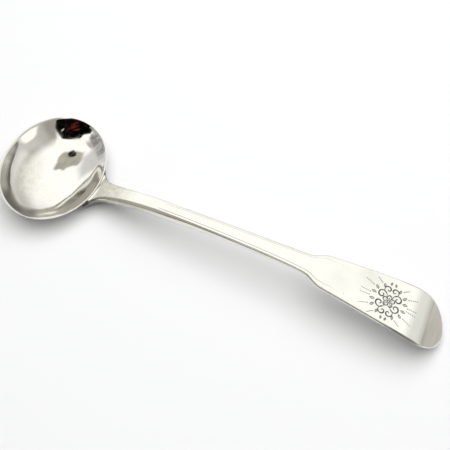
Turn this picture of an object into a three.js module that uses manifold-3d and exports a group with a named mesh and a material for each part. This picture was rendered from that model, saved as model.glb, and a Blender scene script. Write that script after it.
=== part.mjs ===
// Condiment spoon in silver: an oval bowl raised from sheet, a forged stem with
// a fiddle end, and the film of hard solder that joins the two.
// Millimetres, +Z up. The spoon lies as it rests on a table: the underside of
// the bowl and the lower edge of the turned-down tip both stand on z = 0.
// X runs along the spoon, from the bowl's nose (-X) to the stem's tip (+X), and
// y = 0 is its plane of symmetry.

import * as THREE from "three";
import { mergeVertices } from "three/addons/utils/BufferGeometryUtils.js";
import Module from "manifold-3d";

const wasm = await Module();
wasm.setup();

// ---- Driving dimensions -----------------------------------------------------
const BOWL_LENGTH = 21.48; // outside, in the rim's plane, along the spoon
const BOWL_WIDTH = 27.8; // outside, across the spoon
const BOWL_DEPTH = 5.2; // rim plane to the deepest point outside
const HOLLOW_DEPTH = 4.2; // the same inside, so the sheet is 1 mm at the bottom
const FULLNESS = 0.09; // share of the fourth power in the bowl's profile
const LEAN = 0.102; // slope of the bottom, which puts the deepest point near the nose
const WALL_RIM = 0.5; // width of the rim
const RIM_TILT = 8.654; // degrees, nose higher than heel
const RIM_CENTRE = [0, 0, 5.096]; // centre of the rim's plane, bowl frame
const RIM_CREST = 0.16; // height of the rounded lip over the rim's plane
const SOLDER_INNER = 0.04; // clearance, bowl to solder film
const SOLDER_OUTER = 0.15; // outer face of the solder film
const STEM_SEAT = 0.19; // stem's seat on the film, measured from the bowl
const SOLDER_FILLET = 0.2; // how far the film shows round the stem's foot
const FLAT_Z = 0; // plane of the worn flat under the bowl
const TIP_X = 90.47; // end of the stem, bowl frame
const NOSE_X = -10.618; // nose of the bowl, bowl frame
const ROUND_SEGMENTS = 72; // facets round the bowl
const DEPTH_RINGS = 13; // facets from pole to rim

// Stem stations: x, half width, top height, thickness, fullness of the back
// (2 is a half round back, larger is flatter with fuller corners).
const STATIONS = [
  [5.40, 0.50, 1.50, 1.22, 2.6],
  [5.70, 0.95, 1.63, 1.33, 2.6],
  [6.20, 1.32, 1.84, 1.52, 2.6],
  [7.07, 1.75, 2.19, 1.84, 2.6],
  [8.26, 2.60, 2.67, 2.27, 2.5],
  [8.95, 4.60, 2.93, 2.49, 2.3],
  [9.35, 6.35, 3.07, 2.61, 2.2],
  [9.65, 5.60, 3.18, 2.70, 2.2],
  [9.95, 4.70, 3.29, 2.77, 2.2],
  [10.34, 4.02, 3.43, 2.83, 2.2],
  [10.84, 3.44, 3.61, 2.89, 2.2],
  [11.53, 2.80, 3.86, 2.92, 2.3],
  [12.43, 2.25, 4.17, 2.88, 2.4],
  [13.42, 1.92, 4.51, 2.80, 2.5],
  [15.01, 1.70, 5.04, 2.68, 2.6],
  [16.99, 1.54, 5.66, 2.64, 2.8],
  [19.18, 1.44, 6.26, 2.68, 3.0],
  [21.96, 1.38, 6.88, 2.76, 3.0],
  [25.55, 1.37, 7.46, 2.78, 3.0],
  [28.94, 1.40, 7.83, 2.60, 3.0],
  [32.44, 1.45, 8.12, 2.36, 3.1],
  [36.93, 1.53, 8.42, 2.06, 3.2],
  [41.43, 1.61, 8.68, 1.88, 3.3],
  [45.92, 1.69, 8.87, 1.68, 3.4],
  [49.92, 1.79, 8.99, 1.48, 3.6],
  [53.92, 1.94, 9.06, 1.26, 3.8],
  [56.92, 2.06, 9.07, 1.08, 4.0],
  [59.12, 2.17, 9.06, 1.00, 4.2],
  [60.12, 2.33, 9.04, 0.97, 4.4],
  [60.92, 2.66, 9.02, 0.95, 4.6],
  [61.73, 3.06, 9.00, 0.94, 4.8],
  [62.53, 3.48, 8.97, 0.93, 5.0],
  [63.33, 3.73, 8.92, 0.92, 5.0],
  [64.33, 3.90, 8.88, 0.92, 5.0],
  [66.03, 4.10, 8.77, 0.92, 5.0],
  [69.94, 4.51, 8.49, 0.94, 5.0],
  [73.95, 4.95, 8.18, 0.96, 5.0],
  [77.46, 5.29, 7.87, 0.98, 5.0],
  [79.96, 5.48, 7.55, 1.00, 5.0],
  [81.97, 5.60, 7.18, 1.05, 5.0],
  [83.58, 5.66, 6.74, 1.12, 4.8],
  [84.80, 5.58, 6.23, 1.20, 4.6],
  [85.91, 5.34, 5.59, 1.28, 4.4],
  [86.93, 4.96, 4.89, 1.34, 4.2],
  [87.85, 4.44, 4.16, 1.39, 4.0],
  [88.66, 3.72, 3.41, 1.43, 3.8],
  [89.38, 2.80, 2.69, 1.48, 3.6],
  [89.94, 1.75, 2.11, 1.52, 3.4],
  [90.30, 0.95, 1.74, 1.57, 3.2],
  [TIP_X, 0.45, 1.58, 1.58, 3.0],
];

// ---- Bowl surface -------------------------------------------------------------
const TILT = THREE.MathUtils.degToRad(RIM_TILT);
const E1 = new THREE.Vector3(Math.cos(TILT), 0, -Math.sin(TILT));
const E2 = new THREE.Vector3(0, 1, 0);
const E3 = new THREE.Vector3(Math.sin(TILT), 0, Math.cos(TILT));
const CENTRE = new THREE.Vector3(...RIM_CENTRE);

// A point of one face of the sheet: theta round from the heel, rho from the
// middle (0) to the rim (1), inset how far the face lies inside the outer edge.
function sheetPoint(theta, rho, inset, depth) {
  const x = (BOWL_LENGTH / 2 - inset) * rho * Math.cos(theta);
  const y = (BOWL_WIDTH / 2 - inset) * rho * Math.sin(theta);
  const sink = depth * (1 - (1 - FULLNESS) * rho ** 2 - FULLNESS * rho ** 4);
  return CENTRE.clone()
    .addScaledVector(E1, x)
    .addScaledVector(E2, y)
    .addScaledVector(E3, LEAN * x * (1 - rho ** 2) - sink);
}

const outerPoint = (theta, rho) => sheetPoint(theta, rho, 0, BOWL_DEPTH);

// Outward normal of the outer face.
function outerNormal(theta, rho) {
  const h = 1e-4;
  const r = Math.max(rho, 0.01);
  const dt = outerPoint(theta + h, r).sub(outerPoint(theta - h, r));
  const dr = outerPoint(theta, r + h).sub(outerPoint(theta, r - h));
  return dr.cross(dt).normalize().negate();
}

function offsetPoint(theta, rho, distance) {
  return outerPoint(theta, rho).addScaledVector(outerNormal(theta, rho), distance);
}

// ---- Helpers ------------------------------------------------------------------
// Closed surface of revolution-like rings: rings run from a first pole point to
// a last pole point, each ring has the same number of points.
function ringSolid(first, rings, last) {
  const n = rings[0].length;
  const positions = [];
  const put = (p) => positions.push(p.x, p.y, p.z);
  put(first);
  rings.forEach((r) => r.forEach(put));
  put(last);
  const index = [];
  const at = (r, i) => 1 + r * n + (i % n);
  for (let i = 0; i < n; i++) index.push(0, at(0, i + 1), at(0, i));
  for (let r = 0; r < rings.length - 1; r++)
    for (let i = 0; i < n; i++)
      index.push(
        at(r, i), at(r, i + 1), at(r + 1, i),
        at(r, i + 1), at(r + 1, i + 1), at(r + 1, i),
      );
  const end = 1 + rings.length * n;
  for (let i = 0; i < n; i++)
    index.push(end, at(rings.length - 1, i), at(rings.length - 1, i + 1));
  return geometryOf(positions, index);
}

function geometryOf(positions, index) {
  const g = new THREE.BufferGeometry();
  g.setAttribute("position", new THREE.Float32BufferAttribute(positions, 3));
  g.setIndex(index);
  return g;
}

// A closed geometry as a solid for joining and cutting, turned to face out.
function solid(geometry) {
  const g = mergeVertices(geometry, 1e-5);
  const make = (triVerts) =>
    new wasm.Manifold(
      new wasm.Mesh({
        numProp: 3,
        vertProperties: new Float32Array(g.attributes.position.array),
        triVerts,
      }),
    );
  const tri = new Uint32Array(g.index.array);
  const made = make(tri);
  if (made.volume() > 0) return made;
  for (let i = 0; i < tri.length; i += 3)
    [tri[i + 1], tri[i + 2]] = [tri[i + 2], tri[i + 1]];
  return make(tri);
}

function toGeometry(manifold) {
  const m = manifold.getMesh();
  const positions = [];
  for (let i = 0; i < m.numVert; i++)
    positions.push(
      m.vertProperties[i * m.numProp],
      m.vertProperties[i * m.numProp + 1],
      m.vertProperties[i * m.numProp + 2],
    );
  const g = geometryOf(positions, Array.from(m.triVerts));
  g.computeVertexNormals();
  return g;
}

const angles = [...Array(ROUND_SEGMENTS).keys()].map(
  (i) => (2 * Math.PI * i) / ROUND_SEGMENTS,
);
const depths = [...Array(DEPTH_RINGS).keys()].map((k) => (k + 1) / DEPTH_RINGS);

// Everything inside the bowl's outer face moved out by a distance, carried up
// well past the rim: the shape that the stem's seat and the film are cut with.
function dome(distance) {
  const rings = depths.map((s) => angles.map((a) => offsetPoint(a, s, distance)));
  rings.push(
    rings[rings.length - 1].map((p) => p.clone().addScaledVector(E3, 8)),
  );
  const top = CENTRE.clone().addScaledVector(E3, 8);
  return solid(ringSolid(offsetPoint(0, 0, distance), rings, top));
}

// ---- Bowl: raised sheet with a rounded lip and a worn flat underneath ----------
function bowlSolid() {
  const face = (inset, depth) =>
    depths.map((r) => angles.map((a) => sheetPoint(a, r, inset, depth)));
  const rings = face(0, BOWL_DEPTH);
  const lip = (share, height) =>
    angles.map((a) => sheetPoint(a, 1, WALL_RIM * share, 0).addScaledVector(E3, height));
  rings.push(lip(0.12, RIM_CREST * 0.7));
  rings.push(lip(0.5, RIM_CREST));
  rings.push(lip(0.88, RIM_CREST * 0.7));
  rings.push(...face(WALL_RIM, HOLLOW_DEPTH).reverse());
  const body = solid(
    ringSolid(sheetPoint(0, 0, 0, BOWL_DEPTH), rings, sheetPoint(0, 0, WALL_RIM, HOLLOW_DEPTH)),
  );
  const under = new THREE.BoxGeometry(40, 40, 10).translate(0, 0, FLAT_Z - 5);
  under.deleteAttribute("normal");
  under.deleteAttribute("uv");
  return body.subtract(solid(under));
}

// ---- Stem: one forging from the drop under the bowl to the fiddle end -----------
// Section at a station, seen along X: flat face with eased edges above, a back
// of the given fullness below.
function section([x, w, top, t, full], grow) {
  const half = w + grow;
  const belly = top - 0.42 * t;
  const deep = 0.58 * t + grow;
  const ease = Math.min(0.85, 0.5 * w);
  const right = [
    [w - ease, top],
    [w - Math.min(0.38, 0.28 * w), top - Math.min(0.05, 0.05 * t)],
    [half - Math.min(0.14, 0.1 * w), top - Math.min(0.24, 0.18 * t)],
    [half - 0.02, top - 0.3 * t],
  ];
  const steps = 6;
  for (let k = 0; k < steps; k++) {
    const a = (k / steps) * (Math.PI / 2);
    right.push([
      half * Math.cos(a) ** (2 / full),
      belly - deep * Math.sin(a) ** (2 / full),
    ]);
  }
  const left = right.map(([y, z]) => [-y, z]).reverse();
  const ring = [[0, top], ...right, [0, belly - deep], ...left];
  return ring.map(([y, z]) => new THREE.Vector3(x, y, z));
}

function stemBody(grow) {
  const rings = STATIONS.map((s) => section(s, grow));
  const middle = (ring) =>
    ring
      .reduce((sum, p) => sum.add(p), new THREE.Vector3())
      .divideScalar(ring.length);
  return solid(ringSolid(middle(rings[0]), rings, middle(rings[rings.length - 1])));
}

const bowlBody = bowlSolid();
const stemForging = stemBody(0).subtract(dome(STEM_SEAT));
const solderFilm = stemBody(SOLDER_FILLET)
  .subtract(dome(SOLDER_INNER))
  .intersect(dome(SOLDER_OUTER));

// ---- Materials and the spoon ----------------------------------------------------
const silver = new THREE.MeshStandardMaterial({
  color: 0xf1ede4,
  roughness: 0.16,
  metalness: 1,
});
const bowlSilver = new THREE.MeshStandardMaterial({
  color: 0xe9e5da,
  roughness: 0.2,
  metalness: 1,
});
const solderSilver = new THREE.MeshStandardMaterial({
  color: 0xc9c4b6,
  roughness: 0.34,
  metalness: 1,
});

// The largest body of a cut, because a sliver may be left over at an edge.
function largest(manifold) {
  return manifold.decompose().sort((a, b) => b.volume() - a.volume())[0];
}

const spoon = new THREE.Group();
[
  ["bowl", bowlBody, bowlSilver],
  ["stem", stemForging, silver],
  ["solder_seam", solderFilm, solderSilver],
].forEach(([name, body, material]) => {
  const mesh = new THREE.Mesh(toGeometry(largest(body)), material);
  mesh.name = name;
  spoon.add(mesh);
});
// The part's origin is under the middle of the spoon.
spoon.position.set(-(TIP_X + NOSE_X) / 2, 0, 0);

export default spoon;
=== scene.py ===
"""Looks of a silver condiment spoon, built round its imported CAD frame.

The bowl, the stem and the solder seam are remade as fine meshes of the same
size and in the same place as their CAD solids. Lengths in the maths below are
millimetres in the bowl's own frame (x = 0 at the middle of the rim, +X towards
the tip); to_row() turns them into metres in the row's frame.
"""

import math

import bmesh
import bpy
import numpy as np
from mathutils import Matrix, Vector


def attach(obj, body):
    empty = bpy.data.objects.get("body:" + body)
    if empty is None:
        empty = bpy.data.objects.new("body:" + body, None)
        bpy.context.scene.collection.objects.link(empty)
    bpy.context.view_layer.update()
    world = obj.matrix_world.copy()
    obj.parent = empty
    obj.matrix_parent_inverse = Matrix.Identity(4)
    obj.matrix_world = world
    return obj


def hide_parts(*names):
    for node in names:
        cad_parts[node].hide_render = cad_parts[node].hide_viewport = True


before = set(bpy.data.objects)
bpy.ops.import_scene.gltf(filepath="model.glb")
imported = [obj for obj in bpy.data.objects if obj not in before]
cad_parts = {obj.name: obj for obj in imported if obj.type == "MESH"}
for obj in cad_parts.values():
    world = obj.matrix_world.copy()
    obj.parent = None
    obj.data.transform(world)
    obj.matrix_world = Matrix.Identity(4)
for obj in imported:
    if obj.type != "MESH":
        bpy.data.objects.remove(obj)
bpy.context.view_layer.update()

# ---------------------------------------------------------------- dimensions
BOWL_A = 10.74  # half length of the bowl outside, in the rim's plane
BOWL_B = 13.9  # half width
BOWL_DEPTH = 5.2
HOLLOW_DEPTH = 4.2
FULLNESS = 0.09
LEAN = 0.102
TILT = math.radians(8.654)
RIM = np.array([0.0, 0.0, 5.096])
WALL_RIM = 0.5
NOSE_X = -10.618
TIP_X = 90.47
MID_X = (NOSE_X + TIP_X) / 2
E1 = np.array([math.cos(TILT), 0.0, -math.sin(TILT)])
E2 = np.array([0.0, 1.0, 0.0])
E3 = np.array([math.sin(TILT), 0.0, math.cos(TILT)])


def to_row(p):
    """Millimetres in the bowl's frame to metres in the row's frame."""
    p = np.asarray(p, float)
    return (p - np.array([MID_X, 0.0, 0.0])) * 1e-3


# ------------------------------------------------------------------- helpers
def spline(xs, ys):
    """Natural cubic spline through the points, as a function."""
    xs, ys = np.asarray(xs, float), np.asarray(ys, float)
    n = len(xs)
    h = np.diff(xs)
    m = np.zeros((n, n))
    r = np.zeros(n)
    m[0, 0] = m[-1, -1] = 1
    for i in range(1, n - 1):
        m[i, i - 1 : i + 2] = h[i - 1], 2 * (h[i - 1] + h[i]), h[i]
        r[i] = 6 * ((ys[i + 1] - ys[i]) / h[i] - (ys[i] - ys[i - 1]) / h[i - 1])
    k = np.linalg.solve(m, r)

    def f(x):
        x = np.asarray(x, float)
        i = np.clip(np.searchsorted(xs, x) - 1, 0, n - 2)
        a, b = xs[i + 1] - x, x - xs[i]
        return (
            k[i] * a**3 / (6 * h[i])
            + k[i + 1] * b**3 / (6 * h[i])
            + (ys[i] / h[i] - k[i] * h[i] / 6) * a
            + (ys[i + 1] / h[i] - k[i + 1] * h[i] / 6) * b
        )

    return f


def steps(x, a, b):
    """Smooth step from 0 at a to 1 at b."""
    t = np.clip((np.asarray(x, float) - a) / (b - a), 0, 1)
    return t * t * (3 - 2 * t)


def waves(seed, count, low, high):
    """A smooth, irregular field over points: a sum of sines of seeded directions."""
    rng = np.random.default_rng(seed)
    d = rng.normal(size=(count, 3))
    d /= np.linalg.norm(d, axis=1)[:, None]
    f = 2 * np.pi / rng.uniform(low, high, count)
    ph = rng.uniform(0, 2 * np.pi, count)
    amp = 1 / np.sqrt(count / 2)

    def field(p):
        p = np.asarray(p, float)
        total = np.zeros(p.shape[:-1])
        for k in range(count):
            total += np.sin(p @ (d[k] * f[k]) + ph[k])
        return total * amp

    return field


def mesh_object(name, verts, faces, smooth_angle=None):
    me = bpy.data.meshes.new(name)
    me.from_pydata([tuple(v) for v in verts], [], [tuple(f) for f in faces])
    me.validate(clean_customdata=False)
    me.update()
    ob = bpy.data.objects.new(name, me)
    bpy.context.scene.collection.objects.link(ob)
    me.polygons.foreach_set("use_smooth", np.ones(len(me.polygons), bool))
    if smooth_angle:
        me.set_sharp_from_angle(angle=math.radians(smooth_angle))
    return ob


def grid_faces(rings, n, first=0):
    """Quads between consecutive closed rings of n points."""
    r = np.arange(rings - 1)[:, None]
    i = np.arange(n)[None]
    j = (i + 1) % n
    a = first + r * n + i
    b = first + r * n + j
    c = first + (r + 1) * n + j
    d = first + (r + 1) * n + i
    return np.stack([a, b, c, d], -1).reshape(-1, 4)


def face_out(ob):
    """Turns the faces of a closed mesh outwards."""
    bm = bmesh.new()
    bm.from_mesh(ob.data)
    bmesh.ops.recalc_face_normals(bm, faces=bm.faces)
    if bm.calc_volume(signed=True) < 0:
        bmesh.ops.reverse_faces(bm, faces=bm.faces)
    bm.to_mesh(ob.data)
    bm.free()
    ob.data.update()


def boolean(ob, other, operation):
    """Applies one cut or join to the mesh of ob."""
    mod = ob.modifiers.new("cut", "BOOLEAN")
    mod.operation = operation
    mod.object = other
    mod.solver = "MANIFOLD"
    bpy.context.view_layer.update()
    dg = bpy.context.evaluated_depsgraph_get()
    done = bpy.data.meshes.new_from_object(ob.evaluated_get(dg))
    ob.modifiers.remove(mod)
    old = ob.data
    ob.data = done
    bpy.data.meshes.remove(old)
    done.name = ob.name


def keep_largest(ob):
    """Drops slivers that a cut left over."""
    bm = bmesh.new()
    bm.from_mesh(ob.data)
    bm.verts.ensure_lookup_table()
    seen = np.zeros(len(bm.verts), bool)
    groups = []
    for v in bm.verts:
        if seen[v.index]:
            continue
        stack, group = [v], []
        seen[v.index] = True
        while stack:
            u = stack.pop()
            group.append(u)
            for e in u.link_edges:
                w = e.other_vert(u)
                if not seen[w.index]:
                    seen[w.index] = True
                    stack.append(w)
        groups.append(group)
    groups.sort(key=len, reverse=True)
    for g in groups[1:]:
        bmesh.ops.delete(bm, geom=g, context="VERTS")
    bm.to_mesh(ob.data)
    bm.free()
    ob.data.update()


# ---------------------------------------------------------------------- bowl
raise_soft = waves(11, 7, 9.0, 16.0)  # slow unevenness of a hand-raised bowl
planish = waves(23, 26, 2.6, 5.2)  # faint planishing facets
rim_soft = waves(31, 6, 9.0, 22.0)


def sheet_point(theta, rho, inset, depth):
    """A point of one face of the sheet; inset is how far it lies inside the edge."""
    x = (BOWL_A - inset) * rho * np.cos(theta)
    y = (BOWL_B - inset) * rho * np.sin(theta)
    sink = depth * (1 - (1 - FULLNESS) * rho**2 - FULLNESS * rho**4)
    z = LEAN * x * (1 - rho**2) - sink
    return RIM + E1 * x[..., None] + E2 * y[..., None] + E3 * z[..., None]


def sheet_normal(theta, rho, inset, depth):
    h = 1e-4
    r = np.maximum(rho, 0.01)
    dt = sheet_point(theta + h, r, inset, depth) - sheet_point(theta - h, r, inset, depth)
    dr = sheet_point(theta, r + h, inset, depth) - sheet_point(theta, r - h, inset, depth)
    n = np.cross(dt, dr)
    return n / np.linalg.norm(n, axis=-1)[..., None]


def outer_offset(theta, rho, distance):
    theta, rho = np.broadcast_arrays(np.asarray(theta, float), np.asarray(rho, float))
    return sheet_point(theta, rho, 0.0, BOWL_DEPTH) + sheet_normal(theta, rho, 0.0, BOWL_DEPTH) * (
        np.asarray(distance)[..., None]
    )


def sag(theta, rho):
    """Slow unevenness of the sheet, fading out at the rim."""
    p = sheet_point(theta, rho, 0.25, 4.7)
    return 0.02 * raise_soft(p) * steps(rho, 1.0, 0.8)


def ring_mesh(name, first, rings, last, smooth_angle=None):
    n = rings.shape[1]
    verts = np.concatenate([[first], rings.reshape(-1, 3), [last]])
    quads = grid_faces(len(rings), n, 1)
    i = np.arange(n)
    j = (i + 1) % n
    start = np.stack([np.zeros(n, int), 1 + j, 1 + i], -1)
    base = 1 + (len(rings) - 1) * n
    end = np.stack([np.full(n, len(verts) - 1), base + i, base + j], -1)
    faces = [tuple(q) for q in quads] + [tuple(t) for t in start] + [tuple(t) for t in end]
    ob = mesh_object(name, to_row(verts), faces, smooth_angle)
    face_out(ob)
    return ob


FLARE = 0.05
LIP = [
    (-0.008, 0.045), (0.0, 0.085), (0.022, 0.118), (0.055, 0.141), (0.10, 0.153), (0.145, 0.150),
    (0.185, 0.137), (0.225, 0.116), (0.29, 0.078), (0.36, 0.036), (0.43, -0.007),
]


def make_bowl():
    n = 288
    theta = np.linspace(0, 2 * np.pi, n, endpoint=False)
    rho = np.concatenate([[0.008], np.linspace(0, 1, 81)[1:]])
    tt, rr = np.meshgrid(theta, rho)
    soft = sag(tt, rr)
    outer = sheet_point(tt, rr, 0.0, BOWL_DEPTH) + sheet_normal(tt, rr, 0.0, BOWL_DEPTH) * soft[..., None]
    mid = sheet_point(tt, rr, 0.25, 4.7)
    fine = 0.0035 * planish(mid)
    inner = (
        sheet_point(tt, rr, WALL_RIM, HOLLOW_DEPTH)
        + sheet_normal(tt, rr, WALL_RIM, HOLLOW_DEPTH) * (soft + fine)[..., None]
    )
    # the last part below the lip opens out a little
    inner -= E3 * (FLARE * np.clip((rr - 0.88) / 0.12, 0, 1) ** 2)[..., None]
    # rim: a thin, softly rounded lip, a little uneven from use
    one = np.ones_like(theta)
    edge = sheet_point(theta, one, 0.25, 0.0)
    wob = 0.012 * rim_soft(edge)
    lips = [
        sheet_point(theta, one, d, 0.0) + E3 * (up + wob * min(1, up / 0.1))[:, None]
        for d, up in LIP
    ]
    rings = np.concatenate([outer, np.array(lips), inner[::-1]])
    # the flat worn on the underside by resting: nothing reaches below the table
    m = len(rho)
    z = rings[:m, :, 2]
    k = 0.012
    rings[:m, :, 2] = np.where(z > 8 * k, z, k * np.log1p(np.exp(np.clip(z / k, -60, 60))))
    return ring_mesh("bowl_cup", rings[0].mean(0), rings, rings[-1].mean(0))


def make_dome(name, distance):
    n = 288
    theta = np.linspace(0, 2 * np.pi, n, endpoint=False)
    rho = np.concatenate([[0.02], np.linspace(0, 1, 61)[1:]])
    tt, rr = np.meshgrid(theta, rho)
    rings = outer_offset(tt, rr, sag(tt, rr) + distance)
    rings = np.concatenate([rings, [rings[-1] + E3 * 8]])
    return ring_mesh(name, rings[0].mean(0) - E3 * 0.001, rings, RIM + E3 * 8)


# ---------------------------------------------------------------------- stem
OUTLINE = [
    (5.2, 0.0), (5.25, 0.28), (5.45, 0.62), (5.8, 0.95), (6.35, 1.26), (7.0, 1.54), (7.7, 1.95),
    (8.26, 2.5), (8.75, 3.2), (9.2, 3.95), (9.55, 4.5), (9.8, 4.78), (9.97, 4.7), (10.14, 4.4),
    (10.34, 4.04), (10.84, 3.45), (11.53, 2.82), (12.43, 2.28), (13.42, 1.94),
    (15.01, 1.7), (16.99, 1.54), (19.18, 1.45), (21.96, 1.39), (25.55, 1.37), (28.94, 1.4),
    (32.44, 1.45), (36.93, 1.53), (41.43, 1.61), (45.92, 1.69), (49.92, 1.79), (53.92, 1.92),
    (56.92, 2.05), (58.92, 2.17), (60.02, 2.34), (60.82, 2.64), (61.53, 3.02), (62.23, 3.38),
    (62.93, 3.63), (63.83, 3.82), (65.13, 3.99), (66.93, 4.18), (69.94, 4.51), (73.95, 4.95),
    (77.46, 5.29), (79.96, 5.48), (81.97, 5.6), (83.58, 5.65), (84.8, 5.57), (85.91, 5.33),
    (86.93, 4.95), (87.85, 4.43), (88.66, 3.73), (89.38, 2.84), (89.94, 1.85), (90.3, 0.98), (90.47, 0.0),
]
TOP = spline(
    [4.5, 7.07, 9.95, 12.43, 15.01, 17.98, 21.96, 25.95, 32.44, 41.43, 49.92, 59.12, 65.93, 73.95, 79.96, 83.58, 86.93, 89.07, 90.47],
    [1.12, 2.191, 3.289, 4.168, 5.039, 5.949, 6.882, 7.506, 8.119, 8.68, 8.99, 9.056, 8.776, 8.184, 7.555, 6.74, 4.898, 3.027, 1.585],
)
THICK = spline(
    [5.2, 6.2, 7.07, 8.26, 9.35, 10.34, 11.53, 12.43, 13.42, 15.01, 17.98, 21.96, 25.55, 28.94, 32.44, 36.93, 41.43, 45.92, 49.92, 53.92, 56.92, 59.9, 63.9, 69.94, 77.46, 81.97, 84.8, 86.93, 88.66, 90.47],
    [1.16, 1.54, 1.84, 2.27, 2.6, 2.83, 2.91, 2.88, 2.8, 2.68, 2.65, 2.76, 2.78, 2.6, 2.36, 2.07, 1.88, 1.68, 1.48, 1.26, 1.09, 0.97, 0.92, 0.94, 0.98, 1.06, 1.2, 1.33, 1.43, 1.575],
)


def outline_curve(per=14):
    """Dense points along the plan outline of one side, as a smooth curve."""
    p = np.array(OUTLINE, float)
    p = np.concatenate([[p[1] * [1, -1]], p, [p[-2] * [1, -1]]])
    out = []
    for i in range(1, len(p) - 2):
        p0, p1, p2, p3 = p[i - 1 : i + 3]
        t0 = 0.0
        t1 = t0 + np.linalg.norm(p1 - p0) ** 0.5
        t2 = t1 + np.linalg.norm(p2 - p1) ** 0.5
        t3 = t2 + np.linalg.norm(p3 - p2) ** 0.5
        m = max(4, int(per * min(1.6, max(0.5, np.linalg.norm(p2 - p1)))))
        t = np.linspace(t1, t2, m, endpoint=False)[:, None]
        a1 = (t1 - t) / (t1 - t0) * p0 + (t - t0) / (t1 - t0) * p1
        a2 = (t2 - t) / (t2 - t1) * p1 + (t - t1) / (t2 - t1) * p2
        a3 = (t3 - t) / (t3 - t2) * p2 + (t - t2) / (t3 - t2) * p3
        b1 = (t2 - t) / (t2 - t0) * a1 + (t - t0) / (t2 - t0) * a2
        b2 = (t3 - t) / (t3 - t1) * a2 + (t - t1) / (t3 - t1) * a3
        out.append((t2 - t) / (t2 - t1) * b1 + (t - t1) / (t2 - t1) * b2)
    out.append(p[-2:-1])
    c = np.concatenate(out)
    c[:, 1] = np.maximum(c[:, 1], 0)
    return c


def edge_distance(x, y, curve):
    """Plan distance from points to the outline (both sides)."""
    x, y = np.asarray(x, float).ravel(), np.abs(np.asarray(y, float).ravel())
    a, b = curve[:-1], curve[1:]
    ab = b - a
    ll = (ab**2).sum(1) + 1e-12
    best = np.empty(len(x))
    for i in range(0, len(x), 4000):
        q = np.stack([x[i : i + 4000], y[i : i + 4000]], -1)
        # only the part of the outline near these points
        lo, hi = q[:, 0].min() - 6.5, q[:, 0].max() + 6.5
        k = (np.maximum(a[:, 0], b[:, 0]) >= lo) & (np.minimum(a[:, 0], b[:, 0]) <= hi)
        t = np.clip(((q[:, None] - a[None, k]) * ab[None, k]).sum(-1) / ll[k], 0, 1)
        d = q[:, None] - (a[None, k] + t[..., None] * ab[None, k])
        best[i : i + 4000] = np.sqrt((d**2).sum(-1).min(1))
    return best


def round_edge(d, reach, drop):
    """Quarter-ellipse fall towards the edge: 0 beyond reach, drop at the edge."""
    u = np.clip(1 - d / reach, 0, 1)
    return drop * (1 - np.sqrt(np.clip(1 - u * u, 0, 1)))


def bevel_amount(x):
    return steps(x, 24.5, 31.0) * (1 - 0.55 * steps(x, 63.0, 76.0)) * (1 - steps(x, 79.0, 86.0))


LEDGE = math.radians(34)  # slope at which the top edge hands over to the side
TURN = math.radians(60)  # slope at which the tight turn ends and the flatter face begins


def side_radius(x):
    """Radii of the side under the top edge: of the tight turn and of the flatter face."""
    r = 0.55 * THICK(x)
    r = np.where(x > 83, np.minimum(r, 0.55 - 0.22 * steps(x, 83, 89)), r)
    r = 0.40 + (r - 0.40) * steps(x, 10.8, 16.5)
    # along the middle of the stem the turn is tight and the face below it long
    crisp = steps(x, 24, 36) * (1 - steps(x, 58, 61))
    return r * (1 - 0.52 * crisp), r * (1 + 0.50 * crisp)


def top_height(x, y, d):
    """Height of the upper face, d being the plan distance to the edge."""
    z = TOP(x) + 0.11 * (1 - steps(x, 10.6, 15.5))
    w_ref = 0.4 + 0.9 * steps(x, 20, 60) + 3.2 * steps(x, 60, 70)
    z = z - 0.030 * (np.abs(y) / (w_ref + 1.0)) ** 2 * (1 - 0.4 * steps(x, 60, 70))
    # the foot lies level with the bowl's lip where the two meet
    crest = RIM[2] + 0.13 - math.tan(TILT) * x
    out = (np.sqrt((x / 10.62) ** 2 + (y / 13.9) ** 2) - 1) * 10.9
    z = z + np.maximum(0, crest - z) * (1 - steps(out, 0.1, 1.3)) * steps(x, 8.0, 9.3)
    # a long, shallow bevel along both edges, with a fine crease at its start
    b = 0.60 + 0.2 * steps(x, 58, 64)
    u = np.clip(1 - d / b, 0, 1)
    fall = u * u / (u + 0.10) * 1.10
    z = z - 0.15 * bevel_amount(x) * fall
    z = z - 0.022 * crease(x, d)
    rho = 0.36 - 0.10 * steps(x, 55, 64)
    u = np.clip(math.sin(LEDGE) - d / rho, 0, 1)
    return z - rho * (1 - np.sqrt(1 - u * u))


def crease(x, d):
    """The line that starts the bevel: 1 on it, 0 beside it."""
    far = d - 0.62 - 0.5 * steps(x, 60, 66)
    return np.exp(-((far / 0.05) ** 2)) * steps(x, 25.0, 29.0) * (1 - steps(x, 62.5, 68.0))


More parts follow.
